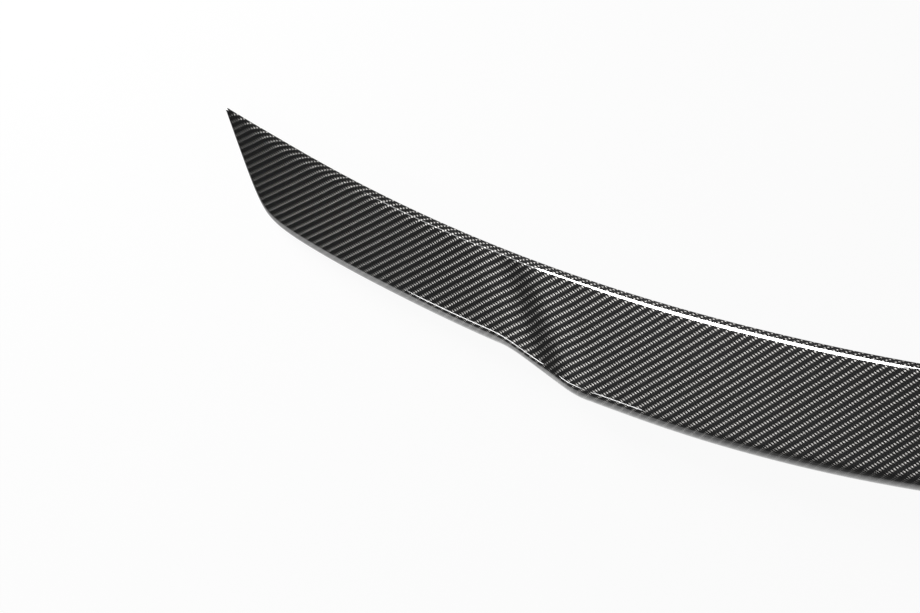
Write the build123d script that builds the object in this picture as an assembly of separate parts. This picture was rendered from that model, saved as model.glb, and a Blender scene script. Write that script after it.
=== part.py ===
from build123d import *
import os
from math import cos, exp, hypot, radians, sin, sqrt, tan

# Car rear spoiler: one moulded carbon-fibre laminate, open underneath.
# Millimetres. +X is the car's right, +Y its front, +Z up. The two halves mirror each other at X = 0.

# Plan view
SPAN = 1296.0            # over both tips
TIP_SWEEP = 64.5         # how far the tips lie forward of the middle of the leading edge
SWEEP_POWER = 2.1        # of the leading edge's curve
CENTRE_CHORD = 73.0      # leading edge to rear crease at the middle
PANEL_TAPER = 4.0        # what the centre panel's chord loses by the place of its rear step
WING_CHORD = 54.3        # leading edge to rear crease on the outer part of each wing
WING_GROWTH = 1.8        # what that chord gains towards the step
END_SLANT = 44.7         # degrees, the end edge's turn out of the span's direction
END_SOFTNESS = 13.0      # how far the rear corner is rounded off
TIP_WIDTH = 2.5          # the blunt point of each tip
TIP_FULLNESS = 0.25      # share of the section's heights that is left at the tip

# Centre panel, set off by a slanting ramp on each side
RAMP_CREST = 1.0         # height of the ramp's low crest, and depth of the valley outboard of it
RAMP_REACH = 20.0        # from the middle of the ramp to that crest or valley
RAMP_EXTENT = 2.5        # how many such reaches the ramp takes up on either side of its middle
PANEL_FRONT = 281.0      # half-width of the panel at the leading edge
RAMP_SLANT = 67.0        # how much narrower the panel is at the rear crease
STEP_AT = 243.0          # where the rear crease steps back, from the middle
STEP_WIDTH = 103.0       # length of that S-shaped step
SLANT_BLEND = 105.0      # span over which the sections turn from slanting to square

# Heights and section
CROWN = 20.0             # how far the top falls from the middle to the tips
WALL = 2.0               # laminate thickness
LEAD_RADIUS = 8.0        # rounded leading edge
LEAD_FLARE = 60.0        # degrees that the leading edge's lip turns down from the top
LIP = 5.0                # height of that lip
CREASE_RADIUS = 5.5      # rear crease
REAR_FOLD = 45.0         # degrees that the rear face turns down from the top
REAR_FACE = 11.0         # width of the rear face
BEND_RADIUS = 14.0       # between the rear face and the skirt under it
INSIDE_RADIUS = 0.5      # least radius of the hollow's corners
EDGE_SHARE = 0.9         # most of an edge that the arcs at its ends may take
SKIRT_MIDDLE = 18.3      # upright skirt under the rear face at the middle
SKIRT_END = 3.8          # the same at the rear corners
CAVITY_END = 22.0        # solid length inside each tip
TRIM = 6.0               # how far the hollow's cutter reaches below the open underside

HALF = SPAN / 2
RAMP_START = PANEL_FRONT - RAMP_EXTENT * RAMP_REACH
RAMP_END = PANEL_FRONT + RAMP_EXTENT * RAMP_REACH
SLANT_END = RAMP_END + SLANT_BLEND


def ease(value):
    """Smooth rise from 0 to 1."""
    limited = min(max(value, 0.0), 1.0)
    return limited * limited * (3 - 2 * limited)


def softer_max(first, second, width):
    """The larger of two heights, with the corner between them rounded."""
    return (first + second + sqrt((first - second) ** 2 + width * width)) / 2


def leading_y(x):
    return TIP_SWEEP * abs(x / HALF) ** SWEEP_POWER


def crease_y(x):
    """Rear crease in plan: the panel, the step, the wing, the rounded corner and the end edge."""
    panel_chord = CENTRE_CHORD - PANEL_TAPER * (x / STEP_AT) ** 2
    wing_chord = WING_CHORD + WING_GROWTH * ease((SLANT_END - x) / (SLANT_END - STEP_AT))
    on_panel = ease((STEP_AT + STEP_WIDTH / 2 - x) / STEP_WIDTH)
    chord = wing_chord + (panel_chord - wing_chord) * on_panel
    end_edge = TIP_SWEEP - TIP_WIDTH - tan(radians(END_SLANT)) * (HALF - x)
    return softer_max(leading_y(x) - chord, end_edge, END_SOFTNESS)


def crown_z(x):
    return -CROWN * (x / HALF) ** 2


def ramp_z(front_x):
    """What the ramp adds to the top's height: a valley on its outer side, a crest on its inner side."""
    place = (PANEL_FRONT - front_x) / RAMP_REACH
    return RAMP_CREST * place * exp((1 - place * place) / 2)


def rear_x(front_x):
    """Where the section that starts at front_x meets the rear crease."""
    slanting = ease(front_x / RAMP_START) * ease((SLANT_END - front_x) / SLANT_BLEND)
    return front_x - RAMP_SLANT * slanting


def slope_of(curve, x):
    step = 0.5
    return (curve(x + step) - curve(x - step)) / (2 * step)


def stretch(along, curve, x):
    """How much longer a width grows when it is measured along the section and not square to the edge."""
    slope = slope_of(curve, x)
    across = abs(along[0] * slope - along[1]) / hypot(1.0, slope)
    return 1 / across


def rounded_path(corners, radii):
    """Edges from corner to corner, with an arc at each one between the ends."""
    points = [Vector(*corner) for corner in corners]
    spans = [end - start for start, end in zip(points, points[1:])]
    turns = [radians(incoming.get_angle(outgoing)) for incoming, outgoing in zip(spans, spans[1:])]
    wanted = [radius * tan(turn / 2) for radius, turn in zip(radii, turns)]
    taken = [first + second for first, second in zip([0.0] + wanted, wanted + [0.0])]
    fits = [min(1.0, EDGE_SHARE * span.length / total) for span, total in zip(spans, taken)]
    edges = []
    start = points[0]
    for index in range(len(radii)):
        corner = points[index + 1]
        incoming = spans[index]
        outgoing = spans[index + 1]
        reach = wanted[index] * min(fits[index], fits[index + 1])
        arc_start = corner - incoming.normalized() * reach
        arc_end = corner + outgoing.normalized() * reach
        edges.append(Line(start, arc_start))
        edges.append(TangentArc(arc_start, arc_end, tangent=incoming))
        start = arc_end
    edges.append(Line(start, points[-1]))
    return edges


def section(front_x, side, inset=0.0, extra_depth=0.0):
    """Face of the spoiler's closed section that starts at front_x on the leading edge."""
    back_x = rear_x(front_x)
    front = (front_x, leading_y(front_x))
    back = (back_x, crease_y(back_x))
    chord = hypot(back[0] - front[0], back[1] - front[1])
    along = ((back[0] - front[0]) / chord, (back[1] - front[1]) / chord)
    fullness = TIP_FULLNESS + (1 - TIP_FULLNESS) * min(1.0, chord / WING_CHORD)

    front_stretch = stretch(along, leading_y, front_x)
    back_stretch = stretch(along, crease_y, back_x)
    flare = radians(LEAD_FLARE)
    fold = radians(REAR_FOLD)
    run = fullness * REAR_FACE * cos(fold) * back_stretch
    drop = fullness * REAR_FACE * sin(fold)
    skirt = SKIRT_END + (SKIRT_MIDDLE - SKIRT_END) * (1 - (back_x / HALF) ** 2)

    front_top = crown_z(front_x) + ramp_z(front_x)
    back_top = crown_z(back_x) + ramp_z(front_x)
    front_foot = crown_z(front_x) - fullness * LIP
    back_foot = crown_z(back_x) - drop - fullness * skirt

    # corners of the outside, moved in by the wall where the hollow is drawn
    lip_slant = front_stretch / tan(flare)
    lip_top_at = (front_top - front_foot) * lip_slant + inset * tan(flare / 2) * front_stretch
    lip_foot_at = lip_top_at - (front_top - inset - front_foot + extra_depth) * lip_slant
    skirt_at = chord + run - inset * back_stretch
    crease_at = chord - inset * tan(fold / 2) * back_stretch
    bend_drop = drop + inset * tan((radians(90) - fold) / 2)
    corners = [
        (lip_foot_at, front_foot - extra_depth),
        (lip_top_at, front_top - inset),
        (crease_at, back_top - inset),
        (skirt_at, back_top - bend_drop),
        (skirt_at, back_foot - extra_depth),
    ]
    outside_radii = (LEAD_RADIUS, CREASE_RADIUS, BEND_RADIUS)
    radii = [max(fullness * radius - inset, INSIDE_RADIUS) for radius in outside_radii]

    plane = Plane(
        origin=(side * front[0], front[1], 0),
        x_dir=(side * along[0], along[1], 0),
        z_dir=(along[1], -side * along[0], 0),
    )
    underside = Line(corners[-1], corners[0])
    return plane * make_face(rounded_path(corners, radii) + [underside])


def spaced(start, end, count):
    return [start + (end - start) * index / count for index in range(count)]


def stations(last):
    """Distances from the middle at which sections are drawn, closer together at the ramp and the tip."""
    corner = HALF - WING_CHORD / tan(radians(END_SLANT))
    inner = spaced(0.0, RAMP_START, 8)
    ramp = spaced(RAMP_START, RAMP_END, 12)
    blend = spaced(RAMP_END, SLANT_END, 8)
    wing = spaced(SLANT_END, corner, 5)
    end = spaced(corner, last, 8) + [last]
    return inner + ramp + blend + wing + end


def half_body(last, inset=0.0, extra_depth=0.0):
    """Loft out to the right end. It starts past the middle, so that the surface runs level through it."""
    places = stations(last)
    past_middle = section(places[1], -1, inset, extra_depth)
    return loft([past_middle] + [section(x, 1, inset, extra_depth) for x in places])


def spoiler_shell():
    """The outside less the hollow, set down with its lowest edge on Z = 0 and centred over the origin."""
    half = half_body(HALF) - half_body(HALF - CAVITY_END, WALL, TRIM)
    right = split(half, bisect_by=Plane.YZ, keep=Keep.TOP)
    shell = right + mirror(right, about=Plane.YZ)
    box = shell.bounding_box()
    return Pos(0, -(box.min.Y + box.max.Y) / 2, -box.min.Z) * shell


os.makedirs("parts", exist_ok=True)
spoiler = spoiler_shell()
spoiler.label = "spoiler_shell"
export_step(spoiler, "parts/spoiler_shell.step")
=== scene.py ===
from math import cos, exp, hypot, pi, radians, sin, sqrt, tan

import bmesh
import bpy
from mathutils import Matrix, Vector


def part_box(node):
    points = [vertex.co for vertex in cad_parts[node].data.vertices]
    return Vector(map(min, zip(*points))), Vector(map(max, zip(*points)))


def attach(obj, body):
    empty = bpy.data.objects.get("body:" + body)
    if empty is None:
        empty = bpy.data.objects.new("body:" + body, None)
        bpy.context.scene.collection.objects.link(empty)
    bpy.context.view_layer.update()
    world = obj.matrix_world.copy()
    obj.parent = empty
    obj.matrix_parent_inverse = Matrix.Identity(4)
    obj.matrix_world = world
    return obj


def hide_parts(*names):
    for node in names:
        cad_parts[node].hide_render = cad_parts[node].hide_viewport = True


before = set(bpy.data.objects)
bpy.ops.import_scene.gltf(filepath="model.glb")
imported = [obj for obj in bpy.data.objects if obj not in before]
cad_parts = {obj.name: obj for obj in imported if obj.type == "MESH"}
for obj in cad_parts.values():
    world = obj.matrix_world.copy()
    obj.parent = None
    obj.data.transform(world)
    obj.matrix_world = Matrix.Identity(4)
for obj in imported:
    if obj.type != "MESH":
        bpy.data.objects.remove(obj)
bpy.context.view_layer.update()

# Car rear spoiler: one carbon-fibre shell with a clear gloss coat outside and raw laminate underneath.
# Lengths of the spoiler are in millimetres, and become metres where its vertices are placed.

shell_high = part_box("spoiler_shell")[1]

# Plan view
SPAN = 1296.0            # over both tips
TIP_SWEEP = 64.5         # how far the tips lie forward of the middle of the leading edge
SWEEP_POWER = 2.1        # of the leading edge's curve
CENTRE_CHORD = 73.0      # leading edge to rear crease at the middle
PANEL_TAPER = 4.0        # what the centre panel's chord loses by the place of its rear step
WING_CHORD = 54.3        # leading edge to rear crease on the outer part of each wing
WING_GROWTH = 1.8        # what that chord gains towards the step
END_SLANT = 44.7         # degrees, the end edge's turn out of the span's direction
END_SOFTNESS = 13.0      # how far the rear corner is rounded off
TIP_WIDTH = 2.5          # the blunt point of each tip
TIP_FULLNESS = 0.25      # share of the section's heights that is left at the tip

# Centre panel and the slanting ramps beside it
RAMP_CREST = 1.0         # height of the ramp's low crest, and depth of the valley outboard of it
RAMP_REACH = 20.0        # from the middle of the ramp to that crest or valley
RAMP_EXTENT = 2.5        # how many such reaches the ramp takes up on either side of its middle
RAMP_AT_LEAD = 0.5       # share of the ramp left at the leading edge; the solid keeps it all, 0.5 mm more
PANEL_FRONT = 281.0      # half-width of the panel at the leading edge
RAMP_SLANT = 67.0        # how much narrower the panel is at the rear crease
STEP_AT = 243.0          # where the rear crease steps back, from the middle
STEP_WIDTH = 103.0       # length of that S-shaped step
SLANT_BLEND = 105.0      # span over which the sections turn from slanting to square

# Heights and section
CROWN = 20.0             # how far the top falls from the middle to the tips
WALL = 2.0               # laminate thickness
LEAD_RADIUS = 8.0        # rounded leading edge
LEAD_FLARE = 60.0        # degrees that the leading edge's lip turns down from the top
LIP = 5.0                # height of that lip
CREASE_RADIUS = 5.5      # rear crease
REAR_FOLD = 45.0         # degrees that the rear face turns down from the top
REAR_FACE = 11.0         # width of the rear face
BEND_RADIUS = 14.0       # between the rear face and the skirt under it
INSIDE_RADIUS = 0.5      # least radius of the hollow's corners
EDGE_SHARE = 0.9         # most of an edge that the arcs at its ends may take
SKIRT_MIDDLE = 18.3      # upright skirt under the rear face at the middle
SKIRT_END = 3.8          # the same at the rear corners
CAVITY_END = 22.0        # solid length inside each tip

HALF = SPAN / 2
RAMP_START = PANEL_FRONT - RAMP_EXTENT * RAMP_REACH
RAMP_END = PANEL_FRONT + RAMP_EXTENT * RAMP_REACH
SLANT_END = RAMP_END + SLANT_BLEND

# The plan's own origin is the middle of the leading edge, at the top's height.
# In metres, LIFT leads from the object's origin to it.
PER_METRE = 1000
LIFT = Vector((0.0, shell_high[1] - TIP_SWEEP / PER_METRE, shell_high[2]))

# How finely the shell is drawn
STATION_GAP = 4.0        # between the sections over the hollow
TIP_GAP = 1.0            # between those in the solid ends
RUN_STEPS = (3, 24, 4, 5)  # faces along the lip, the top, the rear face and the skirt
ARC_STEPS = (12, 7, 8)   # faces around the leading edge, the crease and the bend
SLOPE_STEP = 0.5         # to either side of a place where a curve's slope is taken
SHARP_TURN = 35.0        # degrees between two faces from which their edge is drawn sharp
MERGE_WITHIN = 1e-6      # metres, points closer than this become one
LEAST_EDGE = 1e-7        # metres, shorter edges are dissolved

# Carbon cloth, a 2 by 2 twill
TOW = 1.785              # width of a tow
TOW_TURN = -13.7         # degrees that the cloth is turned out of the span's direction
FLOAT = 2.0              # tows that each float passes over
DASH_FALL = 3.2          # how fast a tow darkens from its middle to its sides
FLOAT_END_PAINTED_SHADE = 0.7          # painted shade: how much of its colour a float loses towards its ends
FLOAT_BOW = 0.0001       # metres, how far a float bows up under the coat
# The tows across the span are the same fibre as those along it; their dark colour is painted shade, for the
# shine that they turn away from the lamps
BRIGHT_TOW = (0.3, 0.293, 0.282, 1)
CROSS_TOW_PAINTED_SHADE = (0.009, 0.009, 0.0095, 1)
GAP = (0.004, 0.004, 0.004, 1)
FIBRE_TURN = 0.256       # of a full turn, from the span's direction to the way the shine is drawn out
# On the bare inside too, the darker colour of the tows across the span is painted shade
RAW_BRIGHT_TOW = (0.055, 0.054, 0.053, 1)
RAW_CROSS_TOW_PAINTED_SHADE = (0.02, 0.02, 0.021, 1)
RAW_GAP = (0.012, 0.012, 0.012, 1)
RAW_RELIEF = 0.0003      # metres, depth of the weave on the bare inside

# Painted shade: the cloth's colour is darkened around the leading edge's lip and at the tips
LIP_PAINTED_SHADE = (3.5, 6.5)   # from the lip's foot along the cloth: fully shaded, no longer shaded
LIP_PAINTED_SHARE = 0.6          # share of the tow colour that is left under the painted shade
TIP_PAINTED_SHADE = (9.0, 4.0)   # from the tip along the span: not yet shaded, fully shaded
TIP_PAINTED_SHARE = 0.1          # share of the tow colour that is left under the painted shade

# Floor and room
FLOOR_SIZE = 40.0        # metres, half a side
FLOOR_PAINT = (0.8, 0.8, 0.8, 1)
FLOOR_GLOW = 0.94        # how much of the floor's look is its own glow
GLOW_STOPS = ((0.1, 0.12), (0.45, 0.3), (0.72, 1.0), (0.82, 1.0), (0.98, 0.08))  # (place, strength)
GLOW_SCALE = 1.5         # places per metre towards the car's front
GLOW_MIDDLE = 0.9        # place under the object's origin
ROOM_GREY = (0.12, 0.12, 0.12, 1)
WHITE = (1, 1, 1, 1)

# Lights, in metres
LAMP_DISTANCE = 1.6
FRONT_SIDE = (-0.757, 0.517, 0.404)   # from the spoiler towards the two lamps at the car's left front
REAR_SIDE = (-0.825, -0.345, 0.45)    # and towards the one at its left rear

# Camera, fitted to the photo's outline
CAMERA_LENS = 273.26
SENSOR_WIDTH = 36.0
CAMERA_CLIP = 100.0
CAMERA_RIGHT = Vector((0.60655, 0.15708, -0.77937))
CAMERA_UP = Vector((-0.14967, 0.98532, 0.08210))
CAMERA_PLACE = Vector((3.36433, 0.28416, 2.93313))  # metres from the plan's own origin


def ease(value):
    """Smooth rise from 0 to 1."""
    limited = min(max(value, 0.0), 1.0)
    return limited * limited * (3 - 2 * limited)


def leading_y(x):
    return TIP_SWEEP * abs(x / HALF) ** SWEEP_POWER


def crease_y(x):
    """Rear crease in plan: the panel, the step, the wing, the rounded corner and the end edge."""
    panel_chord = CENTRE_CHORD - PANEL_TAPER * (x / STEP_AT) ** 2
    wing_chord = WING_CHORD + WING_GROWTH * ease((SLANT_END - x) / (SLANT_END - STEP_AT))
    on_panel = ease((STEP_AT + STEP_WIDTH / 2 - x) / STEP_WIDTH)
    rear_edge = leading_y(x) - wing_chord - (panel_chord - wing_chord) * on_panel
    end_edge = TIP_SWEEP - TIP_WIDTH - tan(radians(END_SLANT)) * (HALF - x)
    return (rear_edge + end_edge + sqrt((rear_edge - end_edge) ** 2 + END_SOFTNESS ** 2)) / 2


def crown_z(x):
    return -CROWN * (x / HALF) ** 2


def ramp_z(front_x):
    """What the ramp adds to the top's height: a valley on its outer side, a crest on its inner side."""
    place = (PANEL_FRONT - front_x) / RAMP_REACH
    return RAMP_CREST * place * exp((1 - place * place) / 2)


def rear_x(front_x):
    """Where the section that starts at front_x meets the rear crease."""
    slanting = ease(front_x / RAMP_START) * ease((SLANT_END - front_x) / SLANT_BLEND)
    return front_x - RAMP_SLANT * slanting


def stretch(along, curve, x):
    """How much longer a width grows along the section than square to the edge."""
    slope = (curve(x + SLOPE_STEP) - curve(x - SLOPE_STEP)) / (2 * SLOPE_STEP)
    return hypot(1.0, slope) / abs(along[0] * slope - along[1])


def rounded_run(corners, radii):
    """Points along straight runs from corner to corner, with an arc at each corner between the ends."""
    spots = [Vector(corner) for corner in corners]
    spans = [end - start for start, end in zip(spots, spots[1:])]
    half_turns = [incoming.angle(outgoing) / 2 for incoming, outgoing in zip(spans, spans[1:])]
    wanted = [radius * tan(half_turn) for radius, half_turn in zip(radii, half_turns)]
    taken = [first + second for first, second in zip([0.0] + wanted, wanted + [0.0])]
    fits = [min(1.0, EDGE_SHARE * span.length / total) for span, total in zip(spans, taken)]
    points = []
    start = spots[0]
    for index, half_turn in enumerate(half_turns):
        corner = spots[index + 1]
        incoming = spans[index].normalized()
        outgoing = spans[index + 1].normalized()
        reach = wanted[index] * min(fits[index], fits[index + 1])
        arc_start = corner - incoming * reach
        points += [start.lerp(arc_start, step / RUN_STEPS[index]) for step in range(RUN_STEPS[index])]
        points += arc_points(arc_start, incoming, half_turn, reach, ARC_STEPS[index])
        start = corner + outgoing * reach
    points += [start.lerp(spots[-1], step / RUN_STEPS[-1]) for step in range(RUN_STEPS[-1] + 1)]
    return points


def arc_points(start, heading, half_turn, reach, steps):
    """Points along an arc that starts on a heading and turns clockwise, without its last one."""
    radius = reach / tan(half_turn)
    inward = Vector((heading.y, -heading.x))
    centre = start + inward * radius
    turns = [2 * half_turn * step / steps for step in range(steps)]
    return [centre - inward * radius * cos(turn) + heading * radius * sin(turn) for turn in turns]


def section(front_x):
    """The section at front_x: its start and direction in plan, and a function for its skins.

    A skin is a run of (along, up) points, moved in from the outside by an inset.
    """
    back_x = rear_x(front_x)
    front = Vector((front_x, leading_y(front_x)))
    chord_line = Vector((back_x, crease_y(back_x))) - front
    chord = chord_line.length
    along = chord_line / chord
    fullness = TIP_FULLNESS + (1 - TIP_FULLNESS) * min(1.0, chord / WING_CHORD)
    front_stretch = stretch(along, leading_y, front_x)
    back_stretch = stretch(along, crease_y, back_x)
    flare = radians(LEAD_FLARE)
    fold = radians(REAR_FOLD)
    run = fullness * REAR_FACE * cos(fold) * back_stretch
    drop = fullness * REAR_FACE * sin(fold)
    skirt = SKIRT_END + (SKIRT_MIDDLE - SKIRT_END) * (1 - (back_x / HALF) ** 2)
    front_top = crown_z(front_x) + RAMP_AT_LEAD * ramp_z(front_x)
    back_top = crown_z(back_x) + ramp_z(front_x)
    front_foot = crown_z(front_x) - fullness * LIP
    back_foot = crown_z(back_x) - drop - fullness * skirt
    foot_slope = (back_foot - front_foot) / (chord + run)
    lip_slant = front_stretch / tan(flare)

    def skin(inset):
        lip_top_at = (front_top - front_foot) * lip_slant + inset * tan(flare / 2) * front_stretch
        lip_height = front_top - inset - front_foot
        lip_foot_drop = (lip_height - foot_slope * lip_top_at) / (1 - foot_slope * lip_slant)
        skirt_at = chord + run - inset * back_stretch
        corners = [
            (lip_top_at - lip_foot_drop * lip_slant, front_top - inset - lip_foot_drop),
            (lip_top_at, front_top - inset),
            (chord - inset * tan(fold / 2) * back_stretch, back_top - inset),
            (skirt_at, back_top - drop - inset * tan((pi / 2 - fold) / 2)),
            (skirt_at, front_foot + foot_slope * skirt_at),
        ]
        outside_radii = (LEAD_RADIUS, CREASE_RADIUS * back_stretch ** 2, BEND_RADIUS)
        radii = [max(fullness * radius - inset, INSIDE_RADIUS) for radius in outside_radii]
        return rounded_run(corners, radii)

    return front, along, skin


def stations():
    """Places along the span where the shell is drawn, with the hollow's ends doubled for their walls."""
    hollow_end = HALF - CAVITY_END
    hollow_steps = round(hollow_end / STATION_GAP)
    tip_steps = round(CAVITY_END / TIP_GAP)
    hollow = [(hollow_end * step / hollow_steps, True) for step in range(hollow_steps + 1)]
    tip = [(hollow_end + CAVITY_END * step / tip_steps, False) for step in range(tip_steps + 1)]
    right = [(x, hollowed, 1) for x, hollowed in hollow + tip]
    left = [(x, hollowed, -1) for x, hollowed, side in reversed(right[1:])]
    return left + right


def loop_at(front_x, hollowed, side):
    """The closed loop of a station: its place, and the length of cloth up to it, for each point."""
    front, along, skin = section(front_x)
    outside = skin(0.0)
    if hollowed:
        inside = list(reversed(skin(WALL)))
    else:
        last = len(outside) - 1
        inside = [outside[-1].lerp(outside[0], step / last) for step in range(last + 1)]
    loop = []
    cloth = 0.0
    before = None
    for point in outside + inside:
        plan = front + along * point.x
        from_lead = plan.y - leading_y(plan.x)
        if before is not None:
            cloth += hypot(from_lead - before[0], point.y - before[1])
        before = (from_lead, point.y)
        loop.append((Vector((side * plan.x, plan.y, point.y)), cloth))
    loop.append(loop[0])
    return loop


def add_object(name, content):
    """A new object of the scene."""
    item = bpy.data.objects.new(name, content)
    bpy.context.scene.collection.objects.link(item)
    return item


def build_shell():
    """The spoiler as one closed grid: stations along the span, and each station's loop around its wall."""
    loops = [loop_at(*station) for station in stations()]
    columns = len(loops) - 1
    rows = len(loops[0]) - 1
    bm = bmesh.new()
    bmesh.ops.create_grid(bm, x_segments=columns, y_segments=rows, size=1.0)
    cloth_map = bm.loops.layers.uv.new("cloth")
    outside_rows = (rows - 1) // 2
    spots = {}
    for vert in bm.verts:
        column = round((vert.co.x + 1) / 2 * columns)
        row = round((vert.co.y + 1) / 2 * rows)
        spots[vert] = (column, row)
    for face in bm.faces:
        lowest_row = min(spots[vert][1] for vert in face.verts)
        face.material_index = 0 if lowest_row < outside_rows else 1
        face.smooth = True
        for corner in face.loops:
            column, row = spots[corner.vert]
            place, cloth = loops[column][row]
            corner[cloth_map].uv = (place.x, -cloth)
    for vert, (column, row) in spots.items():
        vert.co = loops[column][row][0] / PER_METRE + LIFT
    bmesh.ops.remove_doubles(bm, verts=bm.verts, dist=MERGE_WITHIN)
    bmesh.ops.dissolve_degenerate(bm, edges=bm.edges, dist=LEAST_EDGE)
    open_edges = [edge for edge in bm.edges if edge.is_boundary]
    bmesh.ops.holes_fill(bm, edges=open_edges, sides=0)
    bmesh.ops.recalc_face_normals(bm, faces=bm.faces)
    for edge in bm.edges:
        edge.smooth = edge.calc_face_angle(0.0) < radians(SHARP_TURN)
    mesh = bpy.data.meshes.new("spoiler_skin")
    bm.to_mesh(mesh)
    bm.free()
    return add_object("spoiler_skin", mesh)


class Nodes:
    """Short words for the node tree of a material or of the world."""

    def __init__(self, owner):
        owner.use_nodes = True
        self.tree = owner.node_tree
        self.tree.nodes.clear()

    def add(self, kind, **settings):
        node = self.tree.nodes.new(kind)
        for name, value in settings.items():
            setattr(node, name, value)
        return node

    def put(self, value, socket):
        if isinstance(value, bpy.types.NodeSocket):
            self.tree.links.new(value, socket)
        else:
            socket.default_value = value

    def fill(self, node, values):
        for name, value in values.items():
            self.put(value, node.inputs[name])

    def math(self, operation, *values):
        node = self.add("ShaderNodeMath", operation=operation)
        for index, value in enumerate(values):
            self.put(value, node.inputs[index])
        return node.outputs[0]

    def dot(self, first, second):
        node = self.add("ShaderNodeVectorMath", operation="DOT_PRODUCT")
        self.put(first, node.inputs[0])
        self.put(second, node.inputs[1])
        return node.outputs["Value"]

    def blend(self, share, first, second):
        node = self.add("ShaderNodeMix", data_type="FLOAT")
        self.put(share, node.inputs[0])
        self.put(first, node.inputs[2])
        self.put(second, node.inputs[3])
        return node.outputs[0]

    def mix(self, share, first, second):
        node = self.add("ShaderNodeMix", data_type="RGBA")
        self.put(share, node.inputs[0])
        self.put(first, node.inputs[6])
        self.put(second, node.inputs[7])
        return node.outputs[2]

    def mix_shaders(self, share, first, second):
        node = self.add("ShaderNodeMixShader")
        self.put(share, node.inputs[0])
        self.put(first.outputs[0], node.inputs[1])
        self.put(second.outputs[0], node.inputs[2])
        return node

    def smooth_range(self, value, start, end, low, high):
        node = self.add("ShaderNodeMapRange", interpolation_type="SMOOTHSTEP")
        self.fill(node, {"Value": value, "From Min": start, "From Max": end, "To Min": low, "To Max": high})
        return node.outputs[0]

    def split(self, vector):
        node = self.add("ShaderNodeSeparateXYZ")
        self.put(vector, node.inputs[0])
        return node.outputs

    def cloth(self):
        return self.add("ShaderNodeUVMap", uv_map="cloth").outputs[0]

    def show(self, shader, kind="ShaderNodeOutputMaterial"):
        self.put(shader.outputs[0], self.add(kind).inputs["Surface"])


def twill(nodes):
    """The weave: where tows along the span are on top, how openly a tow lies with painted shade at its
    float's ends, and how its float bows.
    """
    cloth = nodes.cloth()
    turn = radians(TOW_TURN)
    span_tow = nodes.dot(cloth, (-sin(turn) / TOW, cos(turn) / TOW, 0))
    cross_tow = nodes.dot(cloth, (-cos(turn) / TOW, -sin(turn) / TOW, 0))
    span_index = nodes.math("FLOOR", span_tow)
    cross_index = nodes.math("FLOOR", cross_tow)
    step = nodes.math("FLOORED_MODULO", nodes.math("ADD", span_index, cross_index), 2 * FLOAT)
    span_on_top = nodes.math("LESS_THAN", step, FLOAT - 0.5)
    span_part = nodes.math("FRACT", span_tow)
    cross_part = nodes.math("FRACT", cross_tow)

    def hump(part):
        centred = nodes.math("MULTIPLY_ADD", part, DASH_FALL, -DASH_FALL / 2)
        fall = nodes.math("MULTIPLY", centred, centred)
        return nodes.math("MAXIMUM", 0.0, nodes.math("SUBTRACT", 1.0, fall))

    def float_bow(place):
        return nodes.math("SINE", nodes.math("MULTIPLY", place, pi / FLOAT))

    span_bow = float_bow(nodes.math("ADD", cross_part, step))
    cross_bow = float_bow(nodes.math("ADD", span_part, nodes.math("SUBTRACT", step, FLOAT)))
    bow = nodes.blend(span_on_top, cross_bow, span_bow)
    breadth = nodes.blend(span_on_top, hump(cross_part), hump(span_part))
    # Painted shade: a float's colour darkens towards its ends, where it dives under the crossing tows
    openness_and_painted_shade = nodes.math("MULTIPLY", breadth, nodes.math("MULTIPLY_ADD", bow, FLOAT_END_PAINTED_SHADE, 1 - FLOAT_END_PAINTED_SHADE))
    return span_on_top, openness_and_painted_shade, bow


def painted_edge_shade(nodes):
    """Painted shade: the cloth's colour darkened around the leading edge's lip, and at the tips."""
    axes = nodes.split(nodes.cloth())
    painted_lip_shade = nodes.smooth_range(axes["Y"], -LIP_PAINTED_SHADE[0], -LIP_PAINTED_SHADE[1], LIP_PAINTED_SHARE, 1.0)
    from_middle = nodes.math("ABSOLUTE", axes["X"])
    painted_tip_shade = nodes.smooth_range(from_middle, HALF - TIP_PAINTED_SHADE[0], HALF - TIP_PAINTED_SHADE[1], 1.0, TIP_PAINTED_SHARE)
    return nodes.math("MULTIPLY", painted_lip_shade, painted_tip_shade)


def carbon_gloss():
    """Woven carbon under a clear gloss coat."""
    material = bpy.data.materials.new("carbon_gloss")
    nodes = Nodes(material)
    span_on_top, openness_and_painted_shade, bow = twill(nodes)
    # Colour share of the tows, darkened by the painted shade at the lip and the tips
    shine = nodes.math("MULTIPLY", openness_and_painted_shade, painted_edge_shade(nodes))
    # Tows across the span take the painted-shade colour
    tow_colour = nodes.mix(span_on_top, CROSS_TOW_PAINTED_SHADE, BRIGHT_TOW)
    bump = nodes.add("ShaderNodeBump")
    nodes.fill(bump, {"Strength": 1.0, "Distance": FLOAT_BOW, "Height": bow})
    fibres = nodes.add("ShaderNodeTangent", direction_type="UV_MAP", uv_map="cloth")
    shader = nodes.add("ShaderNodeBsdfPrincipled")
    nodes.fill(shader, {
        "Base Color": nodes.mix(shine, GAP, tow_colour),
        "Normal": bump.outputs[0],
        "Tangent": fibres.outputs[0],
        "Metallic": 1.0,
        "Roughness": 0.45,
        "Anisotropic": 1.0,
        "Anisotropic Rotation": FIBRE_TURN,
        "Specular Tint": (0.5, 0.5, 0.5, 1),
        "Coat Weight": 1.0,
        "Coat Roughness": 0.02,
        "Coat IOR": 1.6,
    })
    nodes.show(shader)
    return material


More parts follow.
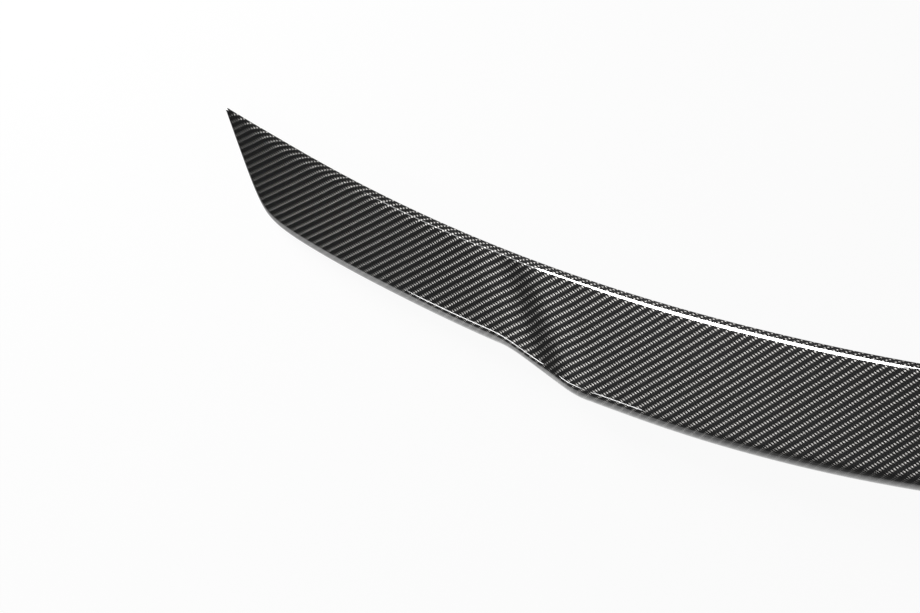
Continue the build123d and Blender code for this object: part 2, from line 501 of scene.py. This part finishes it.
def carbon_raw():
    """The laminate's bare inside: the same cloth in dull resin."""
    material = bpy.data.materials.new("carbon_raw")
    nodes = Nodes(material)
    span_on_top, openness_and_painted_shade = twill(nodes)[:2]
    # Tows across the span take the painted-shade colour
    tow_colour = nodes.mix(span_on_top, RAW_CROSS_TOW_PAINTED_SHADE, RAW_BRIGHT_TOW)
    bump = nodes.add("ShaderNodeBump")
    nodes.fill(bump, {"Strength": 0.6, "Distance": RAW_RELIEF, "Height": openness_and_painted_shade})
    shader = nodes.add("ShaderNodeBsdfPrincipled")
    nodes.fill(shader, {
        "Base Color": nodes.mix(openness_and_painted_shade, RAW_GAP, tow_colour),
        "Normal": bump.outputs[0],
        "Roughness": 0.55,
    })
    nodes.show(shader)
    return material


def floor_glow(nodes):
    """How much of the floor's glow a ray sees, and its strength, which fades away from the rear edge."""
    path = nodes.add("ShaderNodeLightPath")
    axes = nodes.split(nodes.add("ShaderNodeTexCoord").outputs["Object"])
    fade = nodes.add("ShaderNodeValToRGB")
    stops = fade.color_ramp.elements
    for inner_stop in GLOW_STOPS[1:-1]:
        stops.new(inner_stop[0])
    for stop, (place, shade) in zip(stops, GLOW_STOPS):
        stop.position = place
        stop.color = (shade, shade, shade, 1)
    nodes.put(nodes.math("MULTIPLY_ADD", axes["Y"], GLOW_SCALE, GLOW_MIDDLE), fade.inputs[0])
    mirrored = nodes.math("MAXIMUM", path.outputs["Is Glossy Ray"], path.outputs["Is Transmission Ray"])
    seen = nodes.math("MAXIMUM", path.outputs["Is Camera Ray"], mirrored)
    strength = nodes.math("MAXIMUM", path.outputs["Is Camera Ray"], fade.outputs[0])
    return nodes.math("MULTIPLY", seen, FLOOR_GLOW), strength


def white_floor():
    """A pale floor that looks white and still shows the spoiler's shadow."""
    bm = bmesh.new()
    bmesh.ops.create_grid(bm, x_segments=1, y_segments=1, size=FLOOR_SIZE)
    mesh = bpy.data.meshes.new("floor")
    bm.to_mesh(mesh)
    bm.free()
    floor_sheet = add_object("floor", mesh)
    material = bpy.data.materials.new("floor_white")
    nodes = Nodes(material)
    matt = nodes.add("ShaderNodeBsdfDiffuse")
    nodes.fill(matt, {"Color": FLOOR_PAINT})
    glow = nodes.add("ShaderNodeEmission")
    seen, strength = floor_glow(nodes)
    nodes.fill(glow, {"Strength": strength})
    nodes.show(nodes.mix_shaders(seen, matt, glow))
    mesh.materials.append(material)


def studio_world():
    """Dim grey room; white where the camera sees past the floor."""
    world = bpy.data.worlds.new("studio")
    bpy.context.scene.world = world
    nodes = Nodes(world)
    path = nodes.add("ShaderNodeLightPath")
    room = nodes.add("ShaderNodeBackground")
    nodes.fill(room, {"Color": ROOM_GREY})
    white = nodes.add("ShaderNodeBackground")
    nodes.fill(white, {"Color": WHITE})
    backdrop = nodes.mix_shaders(path.outputs["Is Camera Ray"], room, white)
    nodes.show(backdrop, "ShaderNodeOutputWorld")


def softbox(name, aim, side, size, watts):
    """Area light on one side of the place it looks at, with its width in line with the span."""
    light = bpy.data.lights.new(name, "AREA")
    light.shape = "RECTANGLE"
    light.size, light.size_y = size
    light.energy = watts
    lamp = add_object(name, light)
    facing = Vector(side).normalized()
    span = Vector((1, 0, 0))
    width = (span - facing * facing.dot(span)).normalized()
    turn = Matrix((width, facing.cross(width), facing)).transposed()
    place = Vector(aim) + facing * LAMP_DISTANCE
    lamp.matrix_world = Matrix.Translation(place) @ turn.to_4x4()


def photo_camera():
    """Long lens high on the car's right, with the car's front towards the top of the picture."""
    camera = bpy.data.cameras.new("photo_camera")
    camera.lens = CAMERA_LENS
    camera.sensor_fit = "HORIZONTAL"
    camera.sensor_width = SENSOR_WIDTH
    camera.clip_end = CAMERA_CLIP
    holder = add_object("photo_camera", camera)
    back = CAMERA_RIGHT.cross(CAMERA_UP)
    turn = Matrix((CAMERA_RIGHT, CAMERA_UP, back)).transposed()
    holder.matrix_world = Matrix.Translation(CAMERA_PLACE + LIFT) @ turn.to_4x4()
    bpy.context.scene.camera = holder


bpy.context.scene.view_settings.view_transform = "Standard"

shell = build_shell()
shell.data.materials.append(carbon_gloss())
shell.data.materials.append(carbon_raw())
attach(shell, "root")
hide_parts("spoiler_shell")

white_floor()
studio_world()
softbox("front_softbox", aim=(-0.037, 0.0, 0.03), side=FRONT_SIDE, size=(0.235, 0.5), watts=22.0)
softbox("wing_softbox", aim=(-0.158, -0.11, -0.056), side=FRONT_SIDE, size=(0.13, 0.2), watts=0.38)
softbox("rear_softbox", aim=(-0.245, -0.04, 0.03), side=REAR_SIDE, size=(0.36, 0.2), watts=2.7)
photo_camera()
